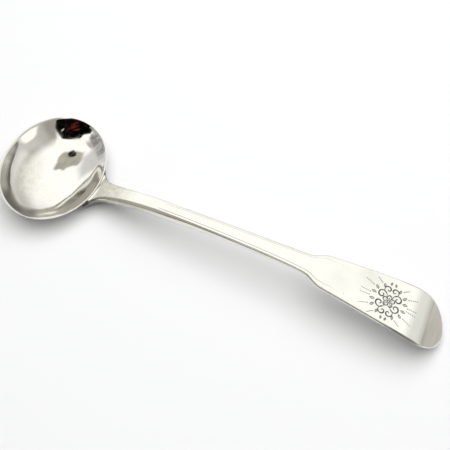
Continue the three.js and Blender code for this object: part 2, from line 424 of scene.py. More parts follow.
def make_stem(name, grow=0.0, fine=True):
    """The forging as one closed mesh. grow swells it, for the solder's outline."""
    curve = outline_curve()
    # stations: dense where the outline turns or the reflections need it
    step = np.interp(
        curve[:, 0],
        [4.4, 9, 14, 25, 30, 58, 60, 66, 68, 70, 72, 83, 84, 86, 90.4],
        [0.05, 0.07, 0.10, 0.16, 0.24, 0.24, 0.07, 0.08, 0.13, 0.13, 0.075, 0.075, 0.10, 0.10, 0.10],
    )
    seg = np.linalg.norm(np.diff(curve, axis=0), axis=1)
    rate = seg / (0.5 * (step[1:] + step[:-1]))
    acc = np.concatenate([[0], np.cumsum(rate)])
    m = int(acc[-1]) + 1
    at = np.linspace(0, acc[-1], m)
    ox = np.interp(at, acc, curve[:, 0])
    ow = np.interp(at, acc, curve[:, 1])
    # x must rise along the stations; the outline does so by design
    keep = np.concatenate([[True], np.diff(ox) > 1e-6])
    ox, ow = ox[keep], ow[keep]
    ow[0], ow[-1] = 0.03, 0.03
    nx = np.gradient(ow, ox)
    ny = 1 / np.sqrt(1 + nx**2)
    px = -nx * ny
    nt, nb, ns = (84 if fine else 24), 24, 16
    vt = 1 - (np.arange(nt + 1) / nt) ** 1.22  # 1 at the edge, 0 at the middle
    vb = 1 - (np.arange(nb + 1) / nb) ** 1.7
    vt = np.concatenate([vt, -vt[-2::-1]])[::-1]  # -1 .. 1
    vb = np.concatenate([vb, -vb[-2::-1]])  # 1 .. -1
    w = ow[:, None]
    x = ox[:, None]
    yt = vt[None] * w
    xt = np.broadcast_to(x, yt.shape)
    dt = edge_distance(xt, yt, curve).reshape(yt.shape)
    dt[:, [0, -1]] = 0
    zt = top_height(xt, yt, dt)
    if fine:
        cut = engraving(xt, yt)
        zt = zt - 0.055 * cut
    ztop = zt[:, -1:]
    # rounded side: an arc from the slope of the top edge to the vertical
    tau = (LEDGE + (math.pi / 2 - LEDGE) * np.arange(1, ns + 1) / ns)[None]
    narrow = np.minimum(1, w / 0.5)
    r1, r2 = side_radius(x)
    r1, r2 = (np.minimum(r, 0.8 * THICK(x)) * narrow for r in (r1, r2))
    first, rest = np.minimum(tau, TURN), np.maximum(tau, TURN)
    outward = r1 * (np.sin(first) - math.sin(LEDGE)) + r2 * (np.sin(rest) - math.sin(TURN)) + grow
    zs = ztop - r1 * (math.cos(LEDGE) - np.cos(first)) - r2 * (math.cos(TURN) - np.cos(rest))
    ys = w + outward * ny[:, None]
    xs = x + outward * px[:, None]
    # underside: a quarter ellipse from the vertical to the flat middle
    we = ys[:, -1:]
    ze = zs[:, -1:]
    low = TOP(x) - THICK(x) - grow
    ze = np.maximum(ze, low + 0.02)
    zs = np.maximum(zs, ze)
    yb = vb[None] * we
    reach = np.minimum(we, 1.5 - 0.3 * steps(x, 26, 44) - 0.3 * steps(x, 44, 62))
    u = np.clip(1 - (we - np.abs(yb)) / reach, 0, 1)
    zb = low + (ze - low) * (1 - np.sqrt(np.clip(1 - u * u, 0, 1)))
    xb = np.broadcast_to(x, yb.shape) + (xs[:, -1:] - x) * np.abs(vb[None]) ** 4
    # the last ring of the arc is the first point of the underside
    ring = np.concatenate(
        [
            np.stack([xt, yt, zt], -1),
            np.stack([xs, ys, zs], -1)[:, :-1],
            np.stack([xb, yb, zb], -1),
            np.stack([xs, -ys, zs], -1)[:, -2::-1],
        ],
        axis=1,
    )
    ob = ring_mesh(name, ring[0].mean(0), ring, ring[-1].mean(0))
    return ob, curve


# ----------------------------------------------------------------- engraving
# A flower between two leafy scrolls, with sprays of short cuts round it.
MARK_X, MARK_Y = 77.3, -0.35


def arc_points(cx, cy, r0, r1, a0, a1, n=40, squash=1.0):
    t = np.linspace(0, 1, n)
    a = np.radians(a0 + (a1 - a0) * t)
    r = r0 + (r1 - r0) * t
    return np.stack([cx + r * np.cos(a), cy + squash * r * np.sin(a)], -1)


def strokes():
    """Centre lines with a half width at each end and in the middle."""
    out = []

    def both(p, w0, w1, w2):
        for sx in (1, -1):
            out.append((p * [sx, 1], w0, w1, w2))

    # flower: five petals round a ring
    out.append((arc_points(0, 0, 0.26, 0.26, 0, 360, 24), 0.06, 0.06, 0.06))
    for k in range(5):
        a = 90 + 72 * k
        c, s_ = math.cos(math.radians(a)), math.sin(math.radians(a))
        t = np.linspace(-150, 150, 30)
        lobe = np.stack(
            [0.86 * c + 0.46 * np.cos(np.radians(a + t)), 0.86 * s_ + 0.46 * np.sin(np.radians(a + t))], -1
        )
        out.append((lobe, 0.03, 0.09, 0.03))
        out.append((np.array([[0.42 * c, 0.42 * s_], [0.85 * c, 0.85 * s_]]), 0.05, 0.04, 0.02))
    # scrolls rising and falling from the flower
    for sy in (1, -1):
        both(arc_points(1.75, 1.05 * sy, 1.15, 0.22, 205 if sy > 0 else 155, -250 if sy > 0 else 610, 60), 0.03, 0.11, 0.05)
        both(arc_points(0.72, 2.55 * sy, 1.0, 0.16, -80 if sy > 0 else 80, 330 if sy > 0 else -330, 50), 0.03, 0.10, 0.04)
        # leaves on the scrolls
        for lx, ly, la, ll in ((2.75, 1.75, 48, 0.95), (2.95, 0.75, 8, 1.0), (1.65, 2.75, 78, 0.85), (0.55, 3.75, 100, 0.7)):
            ang = math.radians(la * sy)
            t = np.linspace(0, 1, 14)
            for bend in (0.20, -0.20):
                off = bend * np.sin(np.pi * t) * ll
                both(
                    np.stack(
                        [
                            lx + ll * t * math.cos(ang) - off * math.sin(ang),
                            ly * sy + ll * t * math.sin(ang) + off * math.cos(ang),
                        ],
                        -1,
                    ),
                    0.025, 0.07, 0.02,
                )
    # sprays: rows of short cuts that thin out
    for sy in (1, -1):
        for base, step_, n in (((3.9, 2.3), (0.42, 0.16), 5), ((4.15, 0.35), (0.46, 0.03), 5), ((2.4, 3.55), (0.30, 0.22), 4)):
            for k in range(n):
                x0 = base[0] + step_[0] * k
                y0 = (base[1] + step_[1] * k) * sy
                both(np.array([[x0, y0], [x0 + 0.17, y0 + 0.05 * sy]]), 0.06 - 0.008 * k, 0.05 - 0.006 * k, 0.02)
    return out


def engraving(x, y):
    """Depth of the cut lines, 0 to 1, at points of the top face."""
    # the ornament stands across the terminal, its long way along the spoon
    px = (np.asarray(x, float) - MARK_X) / 0.97
    py = (np.asarray(y, float) - MARK_Y) / 0.97
    depth = np.zeros(px.shape)
    flat = depth.reshape(-1)
    qx, qy = px.reshape(-1), py.reshape(-1)
    near = np.nonzero((np.abs(qx) < 6.6) & (np.abs(qy) < 5.2))[0]
    q = np.stack([qx[near], qy[near]], -1)
    best = np.zeros(len(near))
    for p, w0, w1, w2 in strokes():
        lo, hi = p.min(0) - 0.25, p.max(0) + 0.25
        k = np.nonzero(((q >= lo) & (q <= hi)).all(1))[0]
        if not len(k):
            continue
        a, b = p[:-1], p[1:]
        ab = b - a
        ll = (ab**2).sum(1) + 1e-9
        d = q[k][:, None] - a[None]
        t = np.clip((d * ab[None]).sum(-1) / ll, 0, 1)
        dist = np.sqrt(((d - t[..., None] * ab[None]) ** 2).sum(-1))
        i = dist.argmin(1)
        along = (i + t[np.arange(len(k)), i]) / len(a)
        wide = np.where(along < 0.5, w0 + (w1 - w0) * along * 2, w1 + (w2 - w1) * (along * 2 - 1))
        wide = np.maximum(wide, 0.045) * 1.75
        v = np.clip(1 - dist[np.arange(len(k)), i] / wide, 0, 1)
        best[k] = np.maximum(best[k], v * (0.55 + 4.0 * np.minimum(wide, 0.11)))
    flat[near] = np.minimum(best, 1)
    return flat.reshape(px.shape)


bowl = make_bowl()
stem, curve = make_stem("stem_forging")
dome_seat = make_dome("cut_seat", 0.19)
boolean(stem, dome_seat, "DIFFERENCE")
keep_largest(stem)

seam, _ = make_stem("solder_fillet", grow=0.2, fine=False)
dome_in = make_dome("cut_in", 0.04)
dome_out = make_dome("cut_out", 0.15)
boolean(seam, dome_in, "DIFFERENCE")
boolean(seam, dome_out, "INTERSECT")
keep_largest(seam)
for cutter in (dome_seat, dome_in, dome_out):
    bpy.data.objects.remove(cutter)

for ob in (stem, seam):
    ob.data.polygons.foreach_set("use_smooth", np.ones(len(ob.data.polygons), bool))
    ob.data.set_sharp_from_angle(angle=math.radians(40))



def tone(ob, values, name="toning_and_shade"):
    """Stores how dark old dirt and painted shade lie, or how dull the metal is, at each point, 0 to 1."""
    at = ob.data.attributes.new(name, "FLOAT", "POINT")
    at.data.foreach_set("value", np.clip(values, 0, 1).astype(np.float32))


def points(ob):
    p = np.empty(len(ob.data.vertices) * 3, np.float64)
    ob.data.vertices.foreach_get("co", p)
    return p.reshape(-1, 3) * 1e3 + np.array([MID_X, 0.0, 0.0])


p = points(stem)
d = edge_distance(p[:, 0], p[:, 1], curve)
inside = p[:, 2] > TOP(p[:, 0]) - 0.45
dark = np.where(inside, np.minimum(1, 2.6 * engraving(p[:, 0], p[:, 1])) ** 0.5, 0.0)
# painted shade: the bevel's crease line is darkened, much more on the near side (y < 0) than on the far side
lined = np.where(p[:, 1] < 0, 0.80, 0.28)
dark = np.maximum(dark, np.where(inside, lined * crease(p[:, 0], d), 0.0))
out = (np.sqrt((p[:, 0] / 10.62) ** 2 + (p[:, 1] / 13.9) ** 2) - 1) * 10.9
# painted shade in the gap under the bowl's rim: a band where the foot meets the bowl low down, a dark notch at
# the foot's near ends, and a band on the foot's sides just below its top
foot = np.clip(1 - np.abs(out) / 0.35, 0, 1) * (p[:, 2] < 3.2)
dark = np.maximum(dark, 0.8 * foot)
level = TOP(p[:, 0]) - p[:, 2]
notch = np.zeros(len(p))
for k in np.linspace(0, 1, 9):
    away = np.hypot(p[:, 0] - (9.75 + 0.75 * k), np.abs(p[:, 1]) - (5.05 - 0.95 * k))
    notch = np.maximum(notch, np.clip(2.0 - away / (0.36 - 0.12 * k), 0, 1))
lip = steps(p[:, 0], 9.8, 10.3) * (1 - steps(p[:, 0], 11.3, 13.0)) * steps(level, 0.05, 0.22) * (1 - steps(level, 0.40, 0.75))
dark = np.maximum(dark, np.maximum(notch, 0.9 * lip) * (p[:, 2] > 2.4))
shaded = steps(level, 0.40, 0.85) * (0.60 - 0.38 * steps(p[:, 0], 11, 17) - 0.22 * steps(p[:, 0], 17, 32)) * (p[:, 0] > 8)
dark = np.maximum(dark, shaded)
# painted shade: the turn of the tip's side is darkened too
turn = steps(p[:, 0], 76, 81) * (1 - steps(p[:, 0], 84.5, 87)) * steps(level, 0.05, 0.15) * (1 - steps(level, 0.45, 0.7))
dark = np.maximum(dark, 0.75 * turn * (np.abs(p[:, 1]) > 3.5))
tone(stem, dark)
# the foot and the neck's sides are made duller and darker than the rest; on the neck's sides the darker colour
# is painted shade
side = steps(TOP(p[:, 0]) - p[:, 2], 0.18, 0.5) * (p[:, 0] > 8)
top_dull = (1 - steps(p[:, 0], 13.0, 22.0)) * steps(out, 0.35, 1.05)
side_dull_and_shade = 0.95 - 0.62 * steps(p[:, 0], 19, 27)
for cx, cy, size, much in ((72.4, 2.9, 2.6, 0.42), (77.6, 1.6, 2.4, 0.30), (76.0, -2.6, 2.2, 0.26), (67.0, -0.6, 2.6, 0.20)):
    away = np.hypot(p[:, 0] - cx, p[:, 1] - cy) / size
    top_dull = np.maximum(top_dull, much * np.exp(-(away**2)))
tone(stem, np.where(side > 0.5, side_dull_and_shade, top_dull), "dullness_and_shade")
p = points(bowl)
outer = np.arange(len(p)) < 1 + 81 * 288
# painted shade: the bowl's underside is darkened along the stem's outline, under the stem
under = (p[:, 0] > 4.5) & (p[:, 2] < 4.2)
near = np.clip(1 - edge_distance(p[:, 0], p[:, 1], curve) / 0.5, 0, 1)
tone(bowl, np.where(outer & under & (np.abs(p[:, 1]) < 5.5), 0.7 * near, 0.0))
# the whole outside is made a little duller; painted shade: the hollow low down on the nose side of the bowl is
# made duller and darker
hollow = steps(-p[:, 0] - 0.35 * p[:, 1], 1.5, 7.0) * (1 - steps(p[:, 1], 1.0, 6.5))
tone(bowl, np.where(outer, 0.35, 0.72 * hollow * (1 - steps(p[:, 2], 3.3, 4.1))), "dullness_and_shade")

# ----------------------------------------------------------------- materials
def new_material(name):
    mat = bpy.data.materials.new(name)
    mat.use_nodes = True
    return mat, mat.node_tree, mat.node_tree.nodes["Principled BSDF"]


class Nodes:
    """Short ways to write a node tree whose lengths are millimetres."""

    def __init__(self, tree):
        self.t = tree
        pos = self.add("ShaderNodeTexCoord").outputs["Object"]
        n = self.add("ShaderNodeVectorMath", operation="SCALE")
        self.link(pos, n.inputs[0])
        n.inputs["Scale"].default_value = 1000.0
        self.mm = n.outputs[0]

    def add(self, kind, **props):
        n = self.t.nodes.new(kind)
        for k, v in props.items():
            setattr(n, k, v)
        return n

    def link(self, a, b):
        self.t.links.new(a, b)

    def math(self, op, a, b=None, c=None, clamp=False):
        n = self.add("ShaderNodeMath", operation=op, use_clamp=clamp)
        for i, v in enumerate((a, b, c)):
            if v is None:
                continue
            if isinstance(v, (int, float)):
                n.inputs[i].default_value = v
            else:
                self.link(v, n.inputs[i])
        return n.outputs[0]

    def range(self, value, a, b, to_a=0.0, to_b=1.0, smooth=True):
        n = self.add("ShaderNodeMapRange", interpolation_type="SMOOTHSTEP" if smooth else "LINEAR")
        self.link(value, n.inputs["Value"])
        for key, v in (("From Min", a), ("From Max", b), ("To Min", to_a), ("To Max", to_b)):
            n.inputs[key].default_value = v
        return n.outputs["Result"]

    def mix(self, fac, a, b):
        n = self.add("ShaderNodeMix", data_type="RGBA")
        for i, v in ((0, fac), (6, a), (7, b)):
            if isinstance(v, (int, float)):
                n.inputs[i].default_value = v
            elif isinstance(v, tuple):
                n.inputs[i].default_value = (*v, 1)
            else:
                self.link(v, n.inputs[i])
        return n.outputs[2]

    def turned(self, angles, stretch, shift=(0, 0, 0)):
        """Coordinates turned by Euler angles in degrees, then stretched."""
        n = self.add("ShaderNodeMapping", vector_type="POINT")
        self.link(self.mm, n.inputs["Vector"])
        n.inputs["Location"].default_value = shift
        n.inputs["Rotation"].default_value = [math.radians(v) for v in angles]
        m = self.add("ShaderNodeVectorMath", operation="MULTIPLY")
        self.link(n.outputs[0], m.inputs[0])
        m.inputs[1].default_value = stretch
        return m.outputs[0]

    def noise(self, scale, detail=3.0, rough=0.5, where=None, distort=0.0):
        n = self.add("ShaderNodeTexNoise")
        self.link(where or self.mm, n.inputs["Vector"])
        n.inputs["Scale"].default_value = scale
        n.inputs["Detail"].default_value = detail
        n.inputs["Roughness"].default_value = rough
        n.inputs["Distortion"].default_value = distort
        return n.outputs["Fac"]

    def hairs(self, angles, shift, width=0.012, along=0.35, across=7.0, share=0.5):
        """Short fine scratches that run in one direction of the turned frame."""
        run = self.noise(1.0, 1.5, 0.4, self.turned(angles, (along, across, across), shift))
        line = self.range(self.math("ABSOLUTE", self.math("SUBTRACT", run, 0.5)), 0.0, width, 1.0, 0.0)
        some = self.noise(0.55, 2.0, 0.5, self.turned(angles, (0.8, 1.6, 1.6), (shift[1], shift[0], 3.1)))
        return self.math("MULTIPLY", line, self.range(some, share, share + 0.12))

    def attribute(self, name):
        return self.add("ShaderNodeAttribute", attribute_name=name).outputs["Fac"]


def silver(name, clean, tarnish, rough, amount, hairs, pits, seed, swirl=0.0):
    """Worn polished silver: haze, hair scratches, pits, tone in the recesses, and painted shade from the mesh's
    attributes.
    """
    mat, tree, bsdf = new_material(name)
    n = Nodes(tree)
    # tarnish in soft clouds, with a finer mottle in it
    cloud = n.noise(0.22, 3.0, 0.55, n.turned((20, 35, seed * 40), (1, 1, 1), (seed * 7.3, 1.7, 4.1)), 0.6)
    mottle = n.noise(2.6, 5.0, 0.65, n.turned((5, 50, seed * 25), (1, 1, 1), (2.2, seed * 3.1, 0.4)))
    haze = n.math("MULTIPLY", n.range(cloud, 0.42, 0.68), n.range(mottle, 0.30, 0.72, 0.35, 1.0))
    # polishing left the finest lines mostly one way; use added others
    scratch = None
    for k, (angles, width, along, across, share, gain) in enumerate(hairs):
        h = n.math("MULTIPLY", n.hairs(angles, (seed * 3.7 + k * 5.3, k * 2.9, seed), width, along, across, share), gain)
        scratch = h if scratch is None else n.math("MAXIMUM", scratch, h)
    # pits: sparse small dark specks
    v = n.add("ShaderNodeTexVoronoi", feature="F1")
    n.link(n.turned((11, 23, 31), (1, 1, 1), (seed, 5.5, 8.8)), v.inputs["Vector"])
    v.inputs["Scale"].default_value = 1.15
    sep = n.add("ShaderNodeSeparateColor")
    n.link(v.outputs["Color"], sep.inputs[0])
    speck = n.math(
        "MULTIPLY",
        n.range(v.outputs["Distance"], 0.06, 0.15, 1.0, 0.0),
        n.range(sep.outputs[0], 1.0 - pits, 1.0 - pits + 0.02),
    )
    toning_and_shade = n.attribute("toning_and_shade")
    dullness_and_shade = n.attribute("dullness_and_shade")
    color = n.mix(n.math("MULTIPLY", haze, amount, clamp=True), clean, tarnish)
    blotch = n.noise(0.75, 6.0, 0.68, n.turned((15, 5, seed * 30), (1, 1, 1), (3.3, seed * 2.2, 1.1)), 0.4)
    # dullness roughens the metal and darkens its colour towards a dull tan; on the neck's sides and in the
    # bowl's hollow this darker colour is painted shade
    patchy = n.math("MULTIPLY", dullness_and_shade, n.range(blotch, 0.36, 0.62, 0.58, 1.0))
    color = n.mix(patchy, color, (0.615, 0.60, 0.52))
    color = n.mix(n.math("MULTIPLY", scratch, 0.10), color, tuple(c * 0.55 for c in clean))
    color = n.mix(n.math("MULTIPLY", speck, 0.75), color, (0.20, 0.18, 0.155))
    # toning darkens towards black: real oxide in the engraved lines, and painted shade on the crease, under the
    # rim, on the sides and at the tip's turn
    color = n.mix(n.range(toning_and_shade, 0.0, 1.0, 0.0, 0.94, smooth=False), color, (0.045, 0.040, 0.034))
    n.link(color, bsdf.inputs["Base Color"])
    r = n.math("MULTIPLY_ADD", n.range(mottle, 0.25, 0.75), 0.022, rough)
    r = n.math("MULTIPLY_ADD", haze, 0.05 * amount / 0.3, r)
    r = n.math("MULTIPLY_ADD", scratch, 0.10, r)
    r = n.math("MULTIPLY_ADD", speck, 0.25, r)
    r = n.math("MULTIPLY_ADD", toning_and_shade, 0.42, r)
    r = n.math("MULTIPLY_ADD", dullness_and_shade, 0.10, r)
    n.link(r, bsdf.inputs["Roughness"])
    bsdf.inputs["Metallic"].default_value = 1.0
    lift = n.math("MULTIPLY", mottle, 0.35)
    lift = n.math("SUBTRACT", lift, n.math("MULTIPLY", scratch, 0.5))
    lift = n.math("SUBTRACT", lift, n.math("MULTIPLY", speck, 2.0))
    if swirl:
        fine = n.noise(0.9, 3.0, 0.55, n.turned((0, 0, 12), (1, 1, 1), (4.4, 2.0, 9.1)))
        lift = n.math("MULTIPLY_ADD", fine, swirl, lift)
    bump = n.add("ShaderNodeBump")
    bump.inputs["Strength"].default_value = 1.0
    bump.inputs["Distance"].default_value = 1.2e-6
    n.link(lift, bump.inputs["Height"])
    n.link(bump.outputs[0], bsdf.inputs["Normal"])
    return mat


def solder(name):
    mat, tree, bsdf = new_material(name)
    n = Nodes(tree)
    grain = n.noise(5.5, 5.0, 0.7)
    flow = n.noise(1.3, 2.0, 0.5, n.turned((0, 30, 10), (1, 1.6, 1)))
    color = n.mix(n.range(grain, 0.35, 0.7), (0.60, 0.57, 0.50), (0.40, 0.37, 0.31))
    color = n.mix(n.range(flow, 0.48, 0.66, 0.0, 0.7), color, (0.20, 0.18, 0.15))
    n.link(color, bsdf.inputs["Base Color"])
    bsdf.inputs["Metallic"].default_value = 1.0
    n.link(n.range(grain, 0.3, 0.75, 0.26, 0.46), bsdf.inputs["Roughness"])
    bump = n.add("ShaderNodeBump")
    bump.inputs["Strength"].default_value = 1.0
    bump.inputs["Distance"].default_value = 6e-6
    n.link(n.math("MULTIPLY_ADD", flow, 2.0, grain), bump.inputs["Height"])
    n.link(bump.outputs[0], bsdf.inputs["Normal"])
    return mat


def give(ob, mat):
    ob.data.materials.clear()
    ob.data.materials.append(mat)
    ob.data.polygons.foreach_set("material_index", np.zeros(len(ob.data.polygons), np.int32))


give(
    bowl,
    silver(
        "bowl_silver", (0.93, 0.915, 0.88), (0.70, 0.675, 0.61), 0.038, 0.30,
        [
            ((0, 0, 28), 0.010, 0.30, 6.0, 0.48, 1.0),
            ((0, 0, -47), 0.008, 0.35, 7.0, 0.52, 0.8),
            ((8, 0, 84), 0.007, 0.45, 8.0, 0.55, 0.7),
        ],
        0.05, 1.0, 0.6,
    ),
)
give(
    stem,
    silver(
        "stem_silver", (0.905, 0.905, 0.855), (0.78, 0.765, 0.70), 0.06, 0.30,
        [
            ((0, 0, 3), 0.012, 0.18, 7.0, 0.44, 1.0),
            ((0, 4, -6), 0.008, 0.20, 9.0, 0.50, 0.8),
            ((0, 0, 71), 0.006, 0.50, 8.0, 0.58, 0.6),
        ],
        0.03, 2.0, 0.35,
    ),
)
give(seam, solder("hard_solder"))

for piece, node, slot in (
    (bowl, "bowl", "bowl_silver"),
    (stem, "stem", "stem_silver"),
    (seam, "solder_seam", "hard_solder"),
):
    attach(piece, "root")
    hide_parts(node)

# --------------------------------------------------------------------- floor
floor_me = bpy.data.meshes.new("floor")
floor_me.from_pydata([(-3, -3, 0), (3, -3, 0), (3, 3, 0), (-3, 3, 0)], [], [(0, 1, 2, 3)])
floor = bpy.data.objects.new("floor", floor_me)
floor.location.z = -0.00002
bpy.context.scene.collection.objects.link(floor)
fm = bpy.data.materials.new("pale_floor")
fm.use_nodes = True
fb = fm.node_tree.nodes["Principled BSDF"]
fb.inputs["Base Color"].default_value = (0.84, 0.84, 0.835, 1)
fb.inputs["Roughness"].default_value = 0.6
fb.inputs["Specular IOR Level"].default_value = 0.2
floor_me.materials.append(fm)

# -------------------------------------------------------------------- camera
A, E, ROLL, F_PX = math.radians(-17.873), math.radians(59.290), math.radians(7.109), 712.06
fwd = Vector((math.sin(A) * math.cos(E), math.cos(A) * math.cos(E), -math.sin(E)))
right = Vector((math.cos(A), -math.sin(A), 0))
up = right.cross(fwd)
r2 = right * math.cos(ROLL) + up * math.sin(ROLL)
u2 = -right * math.sin(ROLL) + up * math.cos(ROLL)
cam_data = bpy.data.cameras.new("camera")
cam_data.sensor_width = 36
cam_data.lens = 36 * F_PX / 450
cam_data.clip_start, cam_data.clip_end = 0.01, 20
cam = bpy.data.objects.new("camera", cam_data)
cam.matrix_world = Matrix(
    (
        (r2.x, u2.x, -fwd.x, 0),
        (r2.y, u2.y, -fwd.y, 0),
        (r2.z, u2.z, -fwd.z, 0),
        (0, 0, 0, 1),
    )
)
cam.location = to_row((64.007, -71.051, 136.010))
bpy.context.scene.collection.objects.link(cam)
bpy.context.scene.camera = cam

# --------------------------------------------------------------------- light
# A white tent, open towards the camera. The silver mirrors its parts, so they
# are laid out as soft-edged panels of the world by compass angle and height:
# angle 0 is behind the spoon (+Y), 90 at its tip's side (+X), 180 at the camera.
scene = bpy.context.scene
scene.view_settings.view_transform = "Standard"
world = bpy.data.worlds.new("studio")
scene.world = world
world.use_nodes = True
wt = world.node_tree
wt.nodes.clear()


def wnode(kind, **props):
    n = wt.nodes.new(kind)
    for k, v in props.items():
        setattr(n, k, v)
    return n


def wmath(op, a, b=None, c=None, clamp=False):
    n = wnode("ShaderNodeMath", operation=op, use_clamp=clamp)
    for i, v in enumerate((a, b, c)):
        if v is None:
            continue
        if isinstance(v, (int, float)):
            n.inputs[i].default_value = v
        else:
            wt.links.new(v, n.inputs[i])
    return n.outputs[0]


def wdot(vec):
    n = wnode("ShaderNodeVectorMath", operation="DOT_PRODUCT")
    wt.links.new(view, n.inputs[0])
    n.inputs[1].default_value = vec
    return n.outputs["Value"]


def wsmooth(value, a, b, to_a=0.0, to_b=1.0):
    n = wnode("ShaderNodeMapRange", interpolation_type="SMOOTHSTEP")
    wt.links.new(value, n.inputs["Value"])
    for key, v in (("From Min", a), ("From Max", b), ("To Min", to_a), ("To Max", to_b)):
        n.inputs[key].default_value = v
    return n.outputs["Result"]


def wmix(fac, a, b):
    n = wnode("ShaderNodeMix", data_type="RGBA")
    n.clamp_factor = True
    for i, v in ((0, fac), (6, a), (7, b)):
        if isinstance(v, (int, float)):
            n.inputs[i].default_value = v
        elif isinstance(v, tuple):
            n.inputs[i].default_value = (*v, 1)
        else:
            wt.links.new(v, n.inputs[i])
    return n.outputs[2]


def toward(az, el):
    az, el = math.radians(az), math.radians(el)
    return np.array([math.sin(az) * math.cos(el), math.cos(az) * math.cos(el), math.sin(el)])


def panel(corners, soft):
    """1 inside a convex panel given by its corners (angle, height), 0 outside."""
    p = [toward(*c) for c in corners]
    mid = sum(p) / len(p)
    least = None
    for k in range(len(p)):
        n = np.cross(p[k], p[(k + 1) % len(p)])
        n /= np.linalg.norm(n)
        if n @ mid < 0:
            n = -n
        v = wdot(tuple(n))
        least = v if least is None else wmath("MINIMUM", least, v)
    s = math.sin(math.radians(soft))
    return wsmooth(least, -s, s)


def disc(az, el, radius, soft):
    r = math.radians
    return wsmooth(wdot(tuple(toward(az, el))), math.cos(r(radius + soft)), math.cos(r(max(0, radius - soft))))


view = wnode("ShaderNodeTexCoord").outputs["Generated"]
split = wnode("ShaderNodeSeparateXYZ")
wt.links.new(view, split.inputs[0])
height = wmath("MULTIPLY", wmath("ARCSINE", split.outputs[2]), 180 / math.pi)
compass = wmath("MULTIPLY", wmath("ARCTAN2", split.outputs[0], split.outputs[1]), 180 / math.pi)

# tent: white behind and above, falling off to the dim room on the camera's side
tent = wsmooth(wdot(tuple(toward(-10, 62))), -0.10, 0.62)
light = wmix(tent, (0.40, 0.395, 0.375), (1.12, 1.12, 1.085))


def curve_of(stops, low_, high_):
    """A value that follows the compass angle through the given stops."""
    n = wnode("ShaderNodeFloatCurve")
    c = n.mapping.curves[0]
    pts = [((a_ + 180) / 360, (h - low_) / (high_ - low_)) for a_, h in stops]
    c.points[0].location = pts[0]
    c.points[-1].location = pts[-1]
    for q in pts[1:-1]:
        c.points.new(*q)
    for q in c.points:
        q.handle_type = "VECTOR"
    n.mapping.update()
    wt.links.new(wmath("DIVIDE", wmath("ADD", compass, 180.0), 360.0), n.inputs["Value"])
    return wmath("MULTIPLY_ADD", n.outputs[0], high_ - low_, low_)


# the tent's lower part is grey behind the spoon and towards its tip
edge = curve_of([(-180, 12), (-60, 12), (-46, 18), (-26, 20), (-14, 24), (0, 28), (15, 32), (34, 35), (45, 39), (61, 48), (77, 55), (90, 59), (105, 63), (119, 65), (128, 58), (150, 12), (180, 12)], 0, 90)
veil = wsmooth(wmath("SUBTRACT", height, edge), 12.0, -10.0)
veil = wmath("MULTIPLY", veil, wsmooth(compass, -46, -10))
veil = wmath("MULTIPLY", veil, wsmooth(compass, 132, 122))
deep = wmix(wsmooth(height, 13, 27), (0.64, 0.635, 0.60), (0.80, 0.80, 0.765))
deep = wmix(wsmooth(compass, 62, 72), deep, (0.61, 0.605, 0.57))
deep = wmix(wsmooth(compass, 80, 108), deep, (0.475, 0.47, 0.435))
light = wmix(veil, light, deep)
# a pale gap low down in it, and a darker fold beside that
gap = panel([(74, 13.5), (78, 22), (86, 27), (94, 28), (99, 22), (97, 11)], 2.5)
light = wmix(gap, light, (1.22, 1.20, 1.11))
left = panel([(104, 28), (107, 44), (112, 56), (126, 62), (127, 50), (122, 30)], 4.5)
light = wmix(left, light, (0.36, 0.35, 0.325))
# a faint grey fold over the handle
right = panel([(-63, 34), (-72, 46), (-88, 52), (-100, 48), (-96, 34), (-80, 29)], 4.0)
light = wmix(right, light, (0.66, 0.66, 0.65))

# under the tent's hem: the dark edge of the table top and what stands on it
hem = curve_of([(-180, 40), (-130, 34), (-95, 31), (-71, 29), (-56, 25.5), (-43, 17.7), (-31, 14.3), (-17, 11.6), (0, 12.8), (18, 14.6), (36, 14.2), (53, 13.4), (70, 12.6), (84, 7), (105, 3), (125, 12), (180, 40)], 0, 90)
under = wmath("SUBTRACT", hem, height)
below = wsmooth(under, -0.6, 0.5)
# towards the tip: dark right under the hem, paler lower down
tipside = wmix(wsmooth(under, 1.6, 5.6), (0.115, 0.11, 0.095), (0.42, 0.405, 0.36))
# behind: the other way round
back = wmix(wsmooth(under, 0.4, 3.4), (0.36, 0.35, 0.32), wmix(wsmooth(compass, -22, -8), (0.22, 0.215, 0.195), (0.145, 0.143, 0.13)))
# towards the bowl's nose: even olive grey
nose = wmix(wsmooth(under, 0.0, 2.5), (0.34, 0.325, 0.275), (0.45, 0.43, 0.38))
# under the handle: a thin dark line, a pale one, then olive with a black streak
grip = wmix(wsmooth(under, 1.2, 1.9), (0.15, 0.145, 0.12), (0.92, 0.905, 0.82))
grip = wmix(wsmooth(under, 3.6, 4.9), grip, (0.24, 0.23, 0.19))
grip = wmix(wsmooth(under, 5.6, 8.0), grip, (0.40, 0.385, 0.335))
grip = wmix(wsmooth(under, 11.5, 14.0), grip, (0.52, 0.50, 0.44))
lowdown = wmix(wsmooth(compass, -46, -38), grip, nose)
lowdown = wmix(wsmooth(compass, -31, -23), lowdown, back)
lowdown = wmix(wsmooth(compass, 8, 24), lowdown, tipside)
light = wmix(below, light, lowdown)
streak = panel([(-59, 20.5), (-55, 19.5), (-53.5, 17), (-57.5, 17.6)], 0.8)
light = wmix(streak, light, (0.07, 0.065, 0.05))
streak = panel([(-76, 20), (-66, 20.5), (-65, 16.5), (-74, 16.0)], 1.4)
light = wmix(streak, light, (0.13, 0.11, 0.085))
# on the camera's side: an olive wall beside the dark of the room
wall = panel([(-161, -12), (-161, 50), (-140, 58), (-116, 50), (-112, -12)], 3.0)
light = wmix(wall, light, (0.40, 0.385, 0.335))
room = panel([(-161, -12), (-161, 25), (-180, 29), (160, 25), (160, -12)], 2.0)
light = wmix(room, light, (0.05, 0.047, 0.042))

